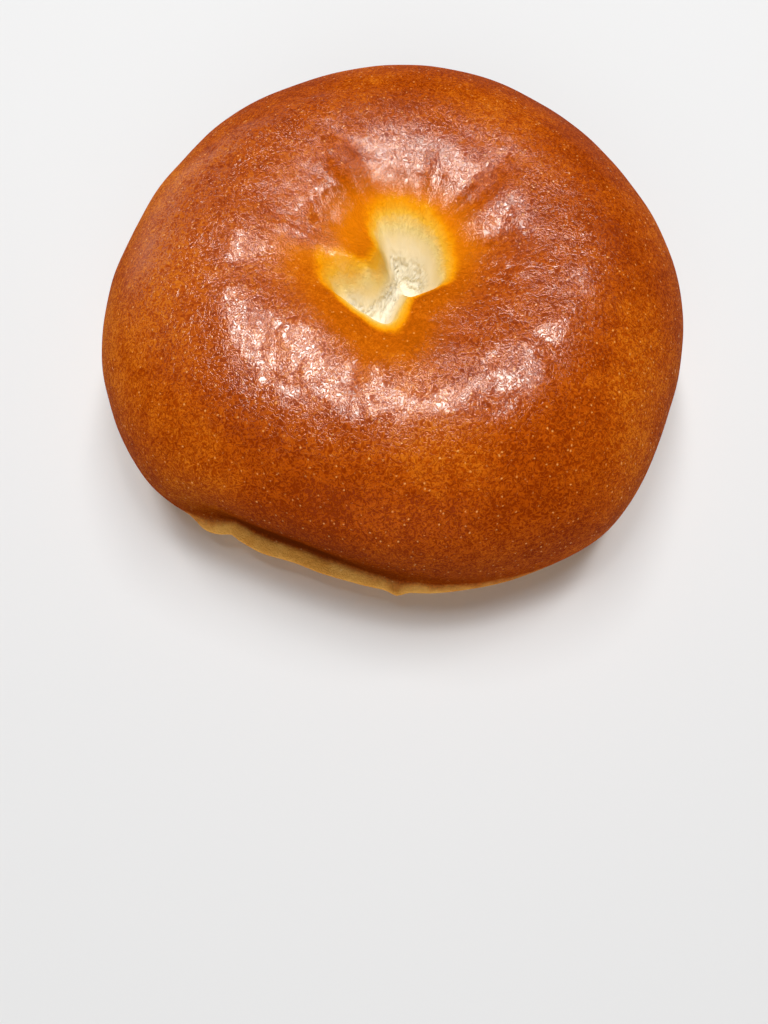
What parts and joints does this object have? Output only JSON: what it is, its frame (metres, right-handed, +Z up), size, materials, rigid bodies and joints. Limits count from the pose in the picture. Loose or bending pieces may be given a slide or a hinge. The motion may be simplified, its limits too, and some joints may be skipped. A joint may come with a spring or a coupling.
{
  "type": "bean paste bun",
  "caption": "Round baked bun with a glossy brown ring-shaped crown, a pale folded navel in its middle and a flat underside.",
  "frame": {"origin": "middle of the box of the flat underside, on the surface that the bun rests on", "axes": "+Z up through the navel, -Y towards the front, where the tucked-in lip is left of the middle, +X to the right"},
  "size_m": [0.104, 0.1028, 0.0367],
  "materials": {
    "crust": "glossy egg-washed crust, mottled brown, pale and matt in the navel and along the foot"
  },
  "bodies": {
    "root": {"bun": "crust"}
  },
  "joints": []
}
